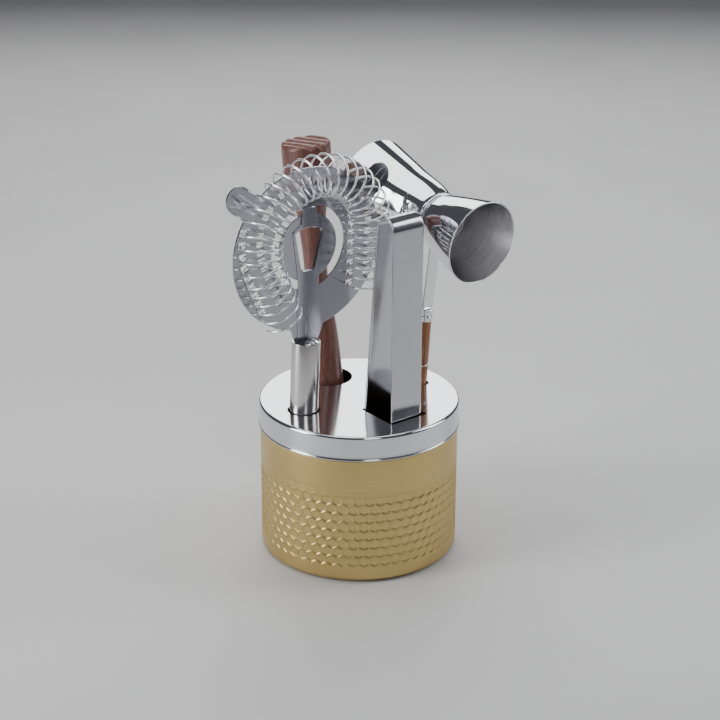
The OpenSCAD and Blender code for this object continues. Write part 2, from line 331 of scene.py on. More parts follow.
@dataclass(frozen=True)
class Place:
    """Where a tool stands: turned about its own axis, leaned, then put in place."""

    origin: Triple
    lean_front: float = 0.0
    lean_right: float = 0.0
    yaw: float = 0.0

    @property
    def turn(self) -> Array:
        """The 3 by 3 rotation matrix."""
        a, b, c = (radians(v) for v in (self.lean_front, self.lean_right, self.yaw))
        about_x = np.array([[1, 0, 0], [0, np.cos(a), -np.sin(a)], [0, np.sin(a), np.cos(a)]])
        about_y = np.array([[np.cos(b), 0, np.sin(b)], [0, 1, 0], [-np.sin(b), 0, np.cos(b)]])
        about_z = np.array([[np.cos(c), -np.sin(c), 0], [np.sin(c), np.cos(c), 0], [0, 0, 1]])
        return about_y @ about_x @ about_z

    def __call__(self, points: Array) -> Array:
        """Take points from the tool's own frame to the row frame, in millimetres.

        Args:
            points: (..., 3) array.

        Returns:
            The moved points.
        """
        return points @ self.turn.T + np.array(self.origin)

    def along(self, x: float = 0.0, y: float = 0.0, z: float = 0.0) -> "Place":
        """The same directions from another point of the tool's frame.

        Args:
            x: step along the tool's x.
            y: step along its y.
            z: step along its axis.

        Returns:
            The moved place.
        """
        point = self(np.array([x, y, z]))
        return Place(tuple(point), self.lean_front, self.lean_right, self.yaw)


HERE = Place((0.0, 0.0, 0.0))


class Surface:
    """Grids and sheets of one piece, collected in millimetres and welded into one mesh."""

    def __init__(self) -> None:
        """Start an empty piece."""
        self.points: list[Array] = []
        self.faces: list[tuple[int, ...]] = []
        self.uvs: list[Array] = []
        self.slots: list[int] = []
        self.count = 0

    def grid(self, points: Array, uv: Array, slot: int = 0) -> None:
        """Add a grid of quads.

        Args:
            points: (rows, columns, 3) places. Seams and poles repeat their points.
            uv: (rows, columns, 2) map coordinates in millimetres.
            slot: material slot of its faces.
        """
        rows, columns = points.shape[:2]
        index = np.arange(rows * columns).reshape(rows, columns)
        corners = [index[:-1, :-1], index[:-1, 1:], index[1:, 1:], index[1:, :-1]]
        quads = np.stack(corners, -1).reshape(-1, 4)
        self._add(points.reshape(-1, 3), quads, uv.reshape(-1, 2), slot)

    def _add(self, points: Array, faces: Array, uv: Array, slot: int) -> None:
        """Add faces over their own points.

        Args:
            points: (n, 3) places.
            faces: (m, corners) indices into them.
            uv: (n, 2) map coordinates.
            slot: material slot of the faces.
        """
        self.points.append(points)
        self.faces.extend(map(tuple, (faces + self.count).tolist()))
        self.uvs.append(uv[faces.reshape(-1)])
        self.slots.extend([slot] * len(faces))
        self.count += len(points)

    def turned(self, profile: Array, place: Mover = HERE, steps: int = 96,
               slot: int = 0, shape: Callable[[Array, Array], Array] | None = None) -> None:
        """Turn a profile about the local z axis.

        Args:
            profile: (rows, 2) radius and height.
            place: takes local points to the row frame.
            steps: columns round the axis.
            slot: material slot.
            shape: optional change of the local points, given them and the angles.
        """
        angle = np.linspace(0.0, TAU, steps + 1)
        angle[-1] = 0.0
        radius, height = profile[:, :1], profile[:, 1:]
        points = np.stack([radius * np.cos(angle), radius * np.sin(angle),
                           height + 0.0 * angle], -1)
        if shape is not None:
            points = shape(points, np.broadcast_to(angle, points.shape[:2]))
        reach = max(float(profile[:, 0].max()), 1.0)
        across = np.linspace(0.0, TAU * reach, steps + 1)
        self.grid(place(points), chart(across, run_along(profile)), slot)

    def sheet(self, loops: Sequence[Array], lift: Callable[[Array, float], Array],
              low: float, high: float, edge: float, open_outer: bool = False) -> None:
        """Add a flat sheet with holes and eased edges.

        Args:
            loops: outer loop, then holes, each (n, 2), outer anticlockwise and holes clockwise.
            lift: takes (n, 2) points and a level to (n, 3) places.
            low: level of the lower face.
            high: level of the upper face.
            edge: how far the edges are eased.
            open_outer: leave out the outer wall, where another surface joins.
        """
        eased = [p if open_outer and i == 0 else inset(p, edge) for i, p in enumerate(loops)]
        flat = np.concatenate(eased)
        vectors = [[Vector((x, y, 0.0)) for x, y in loop] for loop in eased]
        tris = np.array(tessellate_polygon(vectors))
        for level in (low, high):
            self._add(lift(flat, level), tris, flat, 0)
        for i, (loop, soft) in enumerate(zip(loops, eased)):
            if open_outer and i == 0:
                continue
            rings = [lift(soft, low), lift(loop, low + edge), lift(loop, high - edge),
                     lift(soft, high)]
            band = np.stack([np.concatenate([r, r[:1]]) for r in rings])
            self.grid(band, chart(np.linspace(0.0, 1.0, band.shape[1]) * 50.0, np.arange(4.0)))

    def build(self, name: str, finishes: Sequence[Material], smooth: float = 35.0
              ) -> bpy.types.Object:
        """Make the object, in metres, with welded seams and outward normals.

        Args:
            name: name of the object.
            finishes: its materials, in slot order.
            smooth: edges sharper than this many degrees stay crisp.

        Returns:
            The object, linked to the scene.
        """
        mesh = bpy.data.meshes.new(name)
        points = np.concatenate(self.points) * MM
        mesh.from_pydata(points.tolist(), [], self.faces)
        layer = mesh.uv_layers.new(name="UVMap")
        layer.data.foreach_set("uv", np.concatenate(self.uvs).astype(np.float32).ravel())
        mesh.polygons.foreach_set("material_index", np.array(self.slots, np.int32))
        work = bmesh.new()
        work.from_mesh(mesh)
        bmesh.ops.remove_doubles(work, verts=work.verts, dist=2e-6)
        bmesh.ops.dissolve_degenerate(work, edges=work.edges, dist=1e-7)
        bmesh.ops.recalc_face_normals(work, faces=work.faces)
        work.to_mesh(mesh)
        work.free()
        mesh.polygons.foreach_set("use_smooth", np.ones(len(mesh.polygons), bool))
        mesh.set_sharp_from_angle(angle=radians(smooth))
        for finish in finishes:
            mesh.materials.append(finish)
        piece = bpy.data.objects.new(name, mesh)
        bpy.context.scene.collection.objects.link(piece)
        return piece


def run_along(path: Array) -> Array:
    """Distance from the first point: the running sum of |p[i + 1] - p[i]|.

    Args:
        path: (n, axes) points.

    Returns:
        (n,) distances, from 0.
    """
    return np.concatenate([[0.0], np.cumsum(np.linalg.norm(np.diff(path, axis=0), axis=1))])


def chart(across: Array, along: Array) -> Array:
    """Map coordinates of a grid: u over its columns, v over its rows.

    Args:
        across: (columns,) values of u.
        along: (rows,) values of v.

    Returns:
        (rows, columns, 2) coordinates.
    """
    return np.stack(np.broadcast_arrays(across[None, :], along[:, None]), -1)


def inset(loop: Array, distance: float) -> Array:
    """Move a closed loop to its left by a distance.

    Args:
        loop: (n, 2) points.
        distance: how far.

    Returns:
        The moved loop.
    """
    step = np.roll(loop, -1, 0) - loop
    step /= np.linalg.norm(step, axis=1, keepdims=True)
    left = np.stack([-step[:, 1], step[:, 0]], -1)
    normal = left + np.roll(left, 1, 0)
    normal /= np.maximum(np.linalg.norm(normal, axis=1, keepdims=True), 1e-9)
    return loop + normal * distance


def arc(centre: Pair, radius: float, start: float, end: float, n: int = 10) -> Array:
    """Points of an arc.

    Args:
        centre: its centre.
        radius: its radius.
        start: first angle in degrees.
        end: last angle in degrees.
        n: number of points.

    Returns:
        (n, 2) points.
    """
    a = np.radians(np.linspace(start, end, n))
    return np.stack([centre[0] + radius * np.cos(a), centre[1] + radius * np.sin(a)], -1)


def line(*points: Pair, n: int = 2) -> Array:
    """Points along a broken line, n to each stretch.

    Args:
        points: its corners.
        n: points of each stretch, ends included.

    Returns:
        The points.
    """
    parts = [np.linspace(a, b, n) for a, b in zip(points[:-1], points[1:])]
    return np.concatenate([parts[0]] + [p[1:] for p in parts[1:]])


def curve(knots: Sequence[Pair], n: int) -> Array:
    """Smooth curve through knots: cubic Hermite with centred slopes, by distance.

    Args:
        knots: (radius, height) points.
        n: number of points.

    Returns:
        (n, 2) points.
    """
    k = np.array(knots, float)
    t = run_along(k)
    slope = np.gradient(k, t, axis=0)
    s = np.linspace(0.0, t[-1], n)
    i = np.clip(np.searchsorted(t, s, side="right") - 1, 0, len(k) - 2)
    h = (t[i + 1] - t[i])[:, None]
    u = ((s - t[i])[:, None]) / h
    return ((2 * u**3 - 3 * u**2 + 1) * k[i] + (u**3 - 2 * u**2 + u) * h * slope[i]
            + (3 * u**2 - 2 * u**3) * k[i + 1] + (u**3 - u**2) * h * slope[i + 1])


def rounded(corners: Sequence[Pair], radius: float, n: int = 6) -> Array:
    """A polygon with rounded corners: each corner becomes a quadratic curve.

    Args:
        corners: the corners in order.
        radius: how far along each side the rounding starts.
        n: points of each rounding.

    Returns:
        The closed loop, without its first point repeated.
    """
    c = np.array(corners, float)
    out = []
    t = np.linspace(0.0, 1.0, n)[:, None]
    for before, at, after in zip(np.roll(c, 1, 0), c, np.roll(c, -1, 0)):
        a = at + (before - at) / np.linalg.norm(before - at) * radius
        b = at + (after - at) / np.linalg.norm(after - at) * radius
        out.append((1 - t) ** 2 * a + 2 * t * (1 - t) * at + t**2 * b)
    return np.concatenate(out)


def step_between(low: float, high: float, value: Array) -> Array:
    """Smooth step from 0 at low to 1 at high.

    Args:
        low: where it starts.
        high: where it ends.
        value: where it is read.

    Returns:
        The step's values.
    """
    t = np.clip((value - low) / (high - low), 0.0, 1.0)
    return t * t * (3.0 - 2.0 * t)


def tube(surface: Surface, path: Array, radius: float | Array, sides: int = 10,
         place: Mover = HERE) -> None:
    """Sweep a round wire along a path, with parallel-transported rings and closed ends.

    Args:
        surface: where it is added.
        path: (n, 3) centre line.
        radius: wire radius, or one for each point.
        sides: sides of the wire.
        place: takes local points to the row frame.
    """
    along = np.gradient(path, axis=0)
    along /= np.linalg.norm(along, axis=1, keepdims=True)
    normal = np.cross(along[0], [0.3, 0.2, 0.93])
    normals = []
    for t in along:
        normal = normal - t * (normal @ t)
        normal = normal / np.linalg.norm(normal)
        normals.append(normal)
    n = np.array(normals)
    b = np.cross(along, n)
    a = np.linspace(0.0, TAU, sides + 1)
    a[-1] = 0.0
    r = np.broadcast_to(np.asarray(radius, float), (len(path),))
    ring = n[:, None] * np.cos(a)[None, :, None] + b[:, None] * np.sin(a)[None, :, None]
    body = path[:, None] + ring * r[:, None, None]
    ends = [np.broadcast_to(path[i], (1, sides + 1, 3)) for i in (0, -1)]
    shoulders = [path[i][None, None] + ring[i][None] * r[i] * 0.6 for i in (0, -1)]
    points = np.concatenate([ends[0], shoulders[0], body, shoulders[1], ends[1]])
    run = run_along(path)
    run = np.concatenate([[0.0, 0.0], run, [run[-1]] * 2])
    surface.grid(place(points), chart(np.linspace(0.0, 4.0, sides + 1), run))


def strip(path: Array, inward: Array, width: float, thickness: float, edge: float = 0.3,
          place: Mover = HERE, comb: Array | None = None) -> Surface:
    """Sweep a flat strip with rounded edges along a path in the local x and z plane.

    Args:
        path: (n, 2) outer face, as x and z.
        inward: (n, 2) unit directions from the outer to the inner face.
        width: width along local y.
        thickness: thickness of the strip.
        edge: rounding of its edges.
        place: takes local points to the row frame.
        comb: optional extra reach of the last row, one value for each lengthwise column.

    Returns:
        The surface.
    """
    half = width / 2
    side = np.linspace(-half + edge, half - edge, 25)
    q = np.radians(np.linspace(0.0, 90.0, 5))
    outer = np.stack([side, np.zeros_like(side)], -1)
    turn = np.stack([half - edge + edge * np.sin(q), edge * (1 - np.cos(q))], -1)
    down = np.stack([turn[::-1, 0], thickness - turn[::-1, 1]], -1)
    inner = np.stack([side[::-1], np.full_like(side, thickness)], -1)
    right = np.concatenate([turn[1:], down[:-1]])
    left = np.concatenate([np.stack([-down[::-1, 0], down[::-1, 1]], -1)[1:],
                           np.stack([-turn[::-1, 0], turn[::-1, 1]], -1)[:-1]])
    ring = np.concatenate([outer, right, inner, left, outer[:1]])
    x = path[:, None, 0] + inward[:, None, 0] * ring[None, :, 1]
    z = path[:, None, 1] + inward[:, None, 1] * ring[None, :, 1]
    y = np.broadcast_to(ring[None, :, 0], x.shape)
    body = np.stack([x, y, z], -1)
    if comb is not None:
        ahead = path[-1] - path[-2]
        ahead = ahead / np.linalg.norm(ahead)
        reach = np.interp(ring[:, 0], np.linspace(-half, half, len(comb)), comb)
        body[-1] += np.stack([ahead[0] * reach, 0 * reach, ahead[1] * reach], -1)
    surface = Surface()
    surface.grid(place(body), chart(run_along(ring), run_along(path)))
    n = len(side)
    for row in (body[0], body[-1]):
        top, bottom = row[:n], row[n + len(right): 2 * n + len(right)][::-1]
        cap_r = row[n - 1: n + len(right) + 1]
        cap_l = np.concatenate([row[2 * n + len(right) - 1:-1], row[:1]])
        surface.grid(place(np.stack([top, bottom])), np.zeros((2, n, 2)) + side[None, :, None])
        for cap in (cap_r, cap_l):
            centre = np.broadcast_to((cap[0] + cap[-1]) / 2, cap.shape)
            surface.grid(place(np.stack([cap, centre])), np.zeros((2, len(cap), 2)))
    return surface


# ---- Sub-assemblies ------------------------------------------------------


@dataclass
class Piece:
    """One finished piece: its object, body, slot and the CAD nodes it stands for."""

    thing: bpy.types.Object
    body: str
    slot: str
    nodes: tuple[str, ...] = ()

    def settle(self) -> None:
        """Tell the frame which body the piece rides and which nodes it replaces."""
        if "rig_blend" not in self.thing:
            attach(self.thing, self.body)
        if self.nodes:
            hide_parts(*self.nodes)
        log.info("%s: %d faces on %s", self.thing.name, len(self.thing.data.polygons), self.body)


def revolved(*parts: Array, place: Mover = HERE, steps: int = 96) -> Surface:
    """Turn one closed profile, given in stretches.

    Args:
        parts: (n, 2) stretches of radius and height, in order.
        place: takes local points to the row frame.
        steps: columns round the axis.

    Returns:
        The surface.
    """
    surface = Surface()
    surface.turned(np.concatenate(parts), place, steps)
    return surface


def pieces_of(body: str, rows: Sequence[tuple[Surface, str, Material, str, str]],
              smooth: float = 35.0) -> list[Piece]:
    """Build pieces of one finish each on one body.

    Args:
        body: the body they ride.
        rows: surface, object name, material, slot and CAD node of each piece.
        smooth: edges sharper than this many degrees stay crisp.

    Returns:
        The pieces.
    """
    return [Piece(surface.build(name, [finish], smooth), body, slot, (node,))
            for surface, name, finish, slot, node in rows]


@dataclass(frozen=True)
class Caddy:
    """The honeycomb cup with its base pad."""

    radius: float = 54.4
    step: float = 72.6
    wall: float = 0.8
    lid_top: float = 87.0
    cells: int = 58
    rows: int = 9
    first_row: float = 12.8
    row_pitch: float = 5.15
    dimple: float = 0.5
    base: float = 0.8
    corner: float = 3.0
    pad_radius: float = 48.8

    def pressed(self, points: Array, angle: Array) -> Array:
        """Press the honeycomb into the outer wall.

        A point's depth falls off smoothly from its nearest cell centre to the cell's six walls.
        Cells stand with a corner up, and every other row is shifted by half a cell.

        Args:
            points: (rows, columns, 3) points of the outer wall.
            angle: their angles.

        Returns:
            The pressed points.
        """
        pitch = TAU * self.radius / self.cells
        around = angle * self.radius
        height = points[..., 2]
        best = np.full(angle.shape, 9.0)
        depth = np.zeros(angle.shape)
        middle = np.round((height - self.first_row) / self.row_pitch)
        for shift in (-1.0, 0.0, 1.0):
            row = middle + shift
            offset = 0.5 * pitch * np.mod(row, 2.0)
            dx = np.mod(around - offset + 0.5 * pitch, pitch) - 0.5 * pitch
            dy = (height - self.first_row - row * self.row_pitch) * (pitch * 0.866 / self.row_pitch)
            reach = np.maximum(np.abs(dx), 0.5 * np.abs(dx) + 0.866 * np.abs(dy)) / (0.5 * pitch)
            live = (row >= 0) & (row < self.rows)
            level = np.where(row == self.rows - 1, 0.3, 1.0)
            bowl = 1.0 - step_between(0.68, 0.97, reach)
            nearer = reach < best
            best = np.where(nearer, reach, best)
            depth = np.where(nearer, np.where(live, bowl * level * self.dimple, 0.0), depth)
        scale = 1.0 - depth / self.radius
        return np.stack([points[..., 0] * scale, points[..., 1] * scale, height], -1)

    def pieces(self, finishes: Finishes) -> list[Piece]:
        """Build the cup and the pad.

        Args:
            finishes: the finishes of the set.

        Returns:
            The pieces.
        """
        r, low, top = self.radius, self.base, self.lid_top - 0.85
        cup = Surface()
        wall = np.linspace(low + self.corner, 58.0, 171)
        steps = self.cells * 12
        cup.turned(np.stack([np.full_like(wall, r), wall], -1), steps=steps, shape=self.pressed)
        upper = np.concatenate([
            line((r, 58.0), (r, self.step - 0.3), n=5), arc((r - 0.3, self.step - 0.3), 0.3, 0, 45, 4),
            line((r - self.wall, self.step + 0.7), (r - self.wall, top - 0.2)),
            arc((r - self.wall - 0.4, top - 0.4), 0.4, 0, 180, 9),
            line((r - 2 * self.wall, self.step), (r - self.wall, self.step - 0.8)),
            line((r - self.wall, 8.0), (r - self.wall, 4.4)),
            arc((r - self.wall - 2, 4.4), 2.0, 0, -90, 8), line((20.0, 2.4), (0.0, 2.4))])
        cup.turned(upper, steps=steps)
        foot = np.concatenate([
            line((0.0, 1.6), (self.pad_radius + 0.2, 1.6)),
            line((self.pad_radius + 0.2, low + 0.2), (self.pad_radius + 0.4, low)),
            arc((r - self.corner, low + self.corner), self.corner, -90, 0, 12)])
        cup.turned(foot, steps=steps)
        gold = finishes.gold.material()
        grooves = [p for q in (12.0, 24.0, 36.0)
                   for p in ((q, 0.0), (q + 0.3, 0.5), (q + 1.7, 0.5), (q + 2.0, 0.0))]
        pad = revolved([(0.0, 0.0), *grooves, (48.2, 0.0), (48.65, 0.15), (48.8, 0.6),
                        (48.8, 1.58), (0.0, 1.58)], steps=180)
        return pieces_of("holder", [
            (cup, "cup", gold, "gold_cup", "cup_shell"),
            (pad, "pad", finishes.rubber.material(), "pad", "base_pad")])


@dataclass(frozen=True)
class Lid:
    """The polished lid with its four openings."""

    top: float = 87.0
    radius: float = 55.0
    shoulder: float = 1.6
    sheet: float = 0.8
    hem: float = 73.5
    tube_hole: Triple = (-29.9, -18.8, 8.75)
    muddler_hole: Triple = (-18.0, 27.3, 13.9)
    grip_hole: Triple = (33.85, 18.9, 4.8)
    slot_middle: Pair = (19.0, -20.7)
    slot_size: Pair = (26.0, 24.2)
    slot_yaw: float = -52.0

    def openings(self) -> list[Array]:
        """The holes as clockwise loops.

        Returns:
            Three circles and a rounded rectangle.
        """
        circles = [arc((x, y), r, 360.0, 0.0, 145)[:-1]
                   for x, y, r in (self.tube_hole, self.muddler_hole, self.grip_hole)]
        w, d = self.slot_size[0] / 2, self.slot_size[1] / 2
        box = rounded([(-w, -d), (-w, d), (w, d), (w, -d)], 0.5, 5)
        c, s = np.cos(radians(self.slot_yaw)), np.sin(radians(self.slot_yaw))
        return [*circles, box @ np.array([[c, s], [-s, c]]) + np.array(self.slot_middle)]

    def pieces(self, finishes: Finishes) -> list[Piece]:
        """Build the lid.

        Args:
            finishes: the finishes of the set.

        Returns:
            The piece.
        """
        steps = 360
        lid = Surface()
        inside, flat = self.radius - 0.7, self.radius - self.shoulder - 0.6
        under = self.top - self.sheet
        profile = np.concatenate([
            line((flat, self.top), (self.radius - self.shoulder, self.top)),
            arc((self.radius - self.shoulder, self.top - self.shoulder), self.shoulder, 90, 0, 14),
            line((self.radius, 84.5), (self.radius, self.hem + 0.75), n=6),
            arc((self.radius - 0.1, self.hem), 0.5, 60, -150, 16),
            line((inside, self.hem + 0.5), (inside, under - 0.5), n=4),
            line((inside - 0.5, under), (flat, under))])
        lid.turned(profile, steps=steps)
        circle = arc((0.0, 0.0), flat, 0.0, 360.0, steps + 1)[:-1]
        lid.sheet([circle, *self.openings()],
                  lambda p, z: np.concatenate([p, np.full((len(p), 1), z)], 1),
                  under, self.top, 0.15, open_outer=True)
        steel = finishes.cover.material()
        return pieces_of("lid", [(lid, "lid", steel, "lid_steel", "lid")], 30.0)


@dataclass(frozen=True)
class Strainer:
    """The Hawthorne strainer: plate, spring and tubular handle."""

    place: Place = Place((-29.9, -18.8, 87.0), -0.6, 2.2, 37.0)
    plate_z: float = 93.0
    half_size: Pair = (46.8, 44.6)
    middle: float = -1.2
    drop: float = 1.3
    sheet: float = 0.9
    turns: int = 33
    arch: float = 34.8
    arch_middle: Pair = (-2.3, 6.6)
    arch_from: float = 205.0
    arms: Pair = (28.0, 33.0)
    coil: float = 10.8
    out: float = 9.3
    wire: float = 0.6
    ear_angle: float = 36.0
    ear_half: float = 7.5
    ear_reach: float = 54.6
    hole_length: float = 4.4
    crescent: Pair = (23.2, 4.8)
    crescent_span: Pair = (-78.0, 72.0)
    tube_radius: float = 7.75
    tube_top: float = 40.0
    foot: float = -84.2

    def outline(self) -> Array:
        """Outer edge of the plate about its centre.

        For each direction the edge is the farthest of the disc, the two ears (a strip with a
        round end) and the tail (narrowing to the handle), then softened where they meet.

        Returns:
            Anticlockwise loop.
        """
        n = 1440
        a = np.linspace(0.0, TAU, n, endpoint=False)
        wide, high = self.half_size
        p, q, r = (np.cos(a) / wide)**2 + (np.sin(a) / high)**2, np.sin(a) * self.drop, high**2
        far = (np.sqrt(q**2 / r**2 - p * (self.drop**2 / r - 1.0)) - q / r) / p
        for centre in (self.ear_angle, 180.0 - self.ear_angle):
            d = np.angle(np.exp(1j * (a - radians(centre))))
            side = np.abs(np.sin(d)) * self.ear_reach
            round_end = self.ear_reach * np.cos(d) + np.sqrt(
                np.maximum(self.ear_half**2 - side**2, 0.0))
            straight = self.ear_half / np.maximum(np.abs(np.sin(d)), 1e-6)
            reach = np.where(side <= self.ear_half, round_end, straight)
            far = np.where(np.cos(d) > 0.5, np.maximum(far, reach), far)
        down = np.angle(np.exp(1j * (a + np.pi / 2)))
        tries = np.linspace(38.0, 53.6, 400)[:, None]
        half = np.interp(tries * np.cos(down), [40.0, 44.0, 52.0, 53.0], [13.0, 10.8, 8.0, 7.4])
        inside = np.abs(tries * np.sin(down) + self.middle) <= half
        inside &= tries * np.cos(down) <= 53.0
        tail = np.where(inside, tries, 0.0).max(0)
        far = np.where(np.cos(down) > 0.8, np.maximum(far, tail), far)
        kernel = np.hanning(9)
        kernel /= kernel.sum()
        far = np.convolve(np.concatenate([far[-8:], far, far[:8]]), kernel, "same")[8:-8]
        return np.stack([far * np.cos(a) + self.middle, far * np.sin(a)], -1)

    def window(self, grow: float = 0.0) -> Array:
        """The window in the middle, wider at the top, clockwise.

        Args:
            grow: how far its edge is moved outwards.

        Returns:
            The loop.
        """
        left = [(-3.7 - grow, -12.4 - grow), (-8.3 - grow, 8.4 + grow), (-5.4, 10.0 + grow)]
        right = [(-x, z) for x, z in left[::-1]]
        loop = rounded([*left, (0.0, 10.9 + grow), *right], 1.1, 5)
        return loop + (self.middle, 0.0)

    def holes(self) -> list[Array]:
        """Window, two crescents and the perforations for the wire.

        Returns:
            Clockwise loops.
        """
        outer, width = self.crescent
        low, high = self.crescent_span
        mid = outer - width / 2
        caps = [(mid * np.cos(radians(v)), mid * np.sin(radians(v))) for v in (low, high)]
        right = np.concatenate([
            arc((0, 0), outer, high, low, 60), arc(caps[0], width / 2, low, low - 180, 12)[1:-1],
            arc((0, 0), outer - width, low, high, 50),
            arc(caps[1], width / 2, high + 180, high, 12)[1:-1]])
        left = right[::-1] * np.array([-1.0, 1.0])
        found = [self.window(), right + (self.middle, 0.0), left + (self.middle, 0.0)]
        cross = np.sqrt(self.coil**2 - self.out**2)
        part = np.arcsin(self.out / self.coil) / TAU
        wide, high = self.half_size
        for i in range(self.turns):
            for turns, sign, width in ((i + 1 - part, 1.0, 3.7), (i + 0.5 + part, -1.0, 2.9)):
                centre, a = self.spring_line(np.array([turns]))
                turn = np.array([[np.cos(a[0]), np.sin(a[0])], [-np.sin(a[0]), np.cos(a[0])]])
                at = centre[0] + sign * cross * turn[0]
                from_edge = (at - (self.middle, -self.drop)) / (wide - 3.0, high - 3.0)
                if np.linalg.norm(from_edge) < 1.0:
                    h, w = self.hole_length / 2, width / 2
                    box = rounded([(-h, -w), (-h, w), (h, w), (h, -w)], 0.35, 2)
                    found.append(box @ turn + at)
        return found

    def spring_line(self, turns: Array) -> tuple[Array, Array]:
        """Middle line of the spring: a straight arm, an arch, and another straight arm.

        Args:
            turns: how many turns from the left end.

        Returns:
            (n, 2) points in the plate, and the outward angles there.
        """
        arch = self.arch * radians(self.arch_from)
        run = turns * (sum(self.arms) + arch) / self.turns - self.arms[0]
        a = radians(self.arch_from) * (1.0 - np.clip(run / arch, 0.0, 1.0))
        ahead = np.maximum(-run, 0.0) - np.maximum(run - arch, 0.0)
        x = self.arch_middle[0] + self.arch * np.cos(a) - ahead * np.sin(a)
        z = self.arch_middle[1] + self.arch * np.sin(a) + ahead * np.cos(a)
        return np.stack([x, z], -1), a

    def spring_path(self) -> Array:
        """Centre line of the wire: circles of the coil carried along the middle line.

        Returns:
            (n, 3) points about the plate's centre, y away from the viewer.
        """
        u = np.linspace(0.0, self.turns, self.turns * 40 + 1)
        middle, a = self.spring_line(u)
        reach = self.coil * np.cos(TAU * u)
        return np.stack([middle[:, 0] + reach * np.cos(a), -self.out - self.coil * np.sin(TAU * u),
                         middle[:, 1] + reach * np.sin(a)], -1)

    def pieces(self, finishes: Finishes) -> list[Piece]:
        """Build the strainer.

        Args:
            finishes: the finishes of the set.

        Returns:
            The pieces.
        """
        centre = self.place.along(z=self.plate_z)
        half = self.sheet / 2

        def lift(flat: Array, level: float) -> Array:
            return centre(np.stack([flat[:, 0], np.full(len(flat), level), flat[:, 1]], -1))

        satin = finishes.satin.material()
        plate = Surface()
        plate.sheet([self.outline(), *self.holes()], lift, -half, half, 0.18)
        tongue = rounded([(-5.8, -69.0), (5.8, -69.0), (5.8, -53.1), (-5.8, -53.1)], 0.5, 3)
        plate.sheet([tongue], lift, -half + 0.05, half - 0.05, 0.1)
        rib = rounded([(-6.2, -50.5), (6.2, -50.5), (6.1, -14.0), (9.2, 9.6), (4.0, 13.2),
                       (3.2, 22.0), (-5.6, 22.0), (-6.4, 13.2), (-11.6, 9.6), (-7.6, -14.0)],
                      1.6, 6)
        plate.sheet([rib, self.window(0.35)], lift, -half - 0.6, -half + 0.1, 0.3)
        boss = np.concatenate([arc((0.0, -41.0), 1.8, 0, 180), arc((0.0, -48.0), 1.8, 180, 360)])
        plate.sheet([boss], lift, -half - 1.0, -half - 0.5, 0.3)
        for sign in (-1.0, 1.0):
            for side in (-2.6, 2.6):
                self._fold(plate, centre, sign, side)
        wire = Surface()
        tube(wire, self.spring_path(), self.wire, 12, centre)
        r, top, low = self.tube_radius, self.tube_top, self.foot
        handle = revolved(
            line((r - 0.8, low + 2.2), (r, low + 2.0)), line((r, 0.0), (r, top - 0.25)),
            arc((r - 0.25, top - 0.25), 0.25, 0, 90, 4), line((r - 0.8, top), (r - 0.8, low + 2.2)),
            place=self.place)
        plug = revolved(
            line((0.0, top - 18.0), (r - 0.85, top - 18.0)),
            line((r - 0.85, top - 0.4), (r - 0.95, top - 0.15)),
            arc((0.0, top - 12.0), 13.55, 59, 90), [(0.0, top + 1.5)], place=self.place)
        cap = revolved(
            [(0.0, low)], arc((r - 2.0, low + 2.0), 2.0, -90, 0, 9),
            [(r - 0.85, low + 2.05), (r - 0.85, low + 8.0), (0.0, low + 8.0)], place=self.place)
        steel = finishes.handle.material()
        return pieces_of("strainer", [
            (plate, "strainer_plate_sheet", satin, "plate_steel", "strainer_plate"),
            (wire, "strainer_wire", finishes.wire.material(), "spring_steel", "strainer_spring"),
            (handle, "strainer_handle", steel, "tube_steel", "strainer_tube"),
            (plug, "strainer_plug", finishes.mirror.material(), "tube_steel", "strainer_tube_plug"),
            (cap, "strainer_cap", steel, "tube_steel", "strainer_tube_cap")])

    def _fold(self, plate: Surface, centre: Place, sign: float, side: float) -> None:
        """A pressed fold on an ear: a low ridge that tapers to both ends.

        Args:
            plate: where it is added.
            centre: place of the plate's centre.
            sign: -1 for the left ear, 1 for the right.
            side: distance from the ear's middle line.
        """
        t = np.linspace(0.0, 1.0, 24)
        reach = 45.5 + 14.0 * t
        width = 0.9 * np.sin(np.pi * t) ** 0.5
        s = np.linspace(-1.0, 1.0, 9)
        off = side * (1 - 0.25 * t)[:, None] + width[:, None] * s
        high = -self.sheet / 2 + 0.05 - 0.45 * np.sin(np.pi * t)[:, None] * (1 - s**2)
        a = radians(self.ear_angle)
        along = reach[:, None] * np.ones_like(s)
        x = sign * (along * np.cos(a) - off * np.sin(a)) + self.middle
        z = along * np.sin(a) + off * np.cos(a)
        low = np.full_like(high, -self.sheet / 2 + 0.1)
        uv = np.stack([off, along], -1)
        for level in (high, low):
            plate.grid(centre(np.stack([x, level, z], -1)), uv)
        everything = slice(None)
        for edge in ((everything, 0), (0, everything), (everything, -1), (-1, everything)):
            rim = [np.stack([x[edge], level[edge], z[edge]], -1) for level in (high, low)]
            plate.grid(centre(np.stack(rim)), np.stack([uv[edge]] * 2))


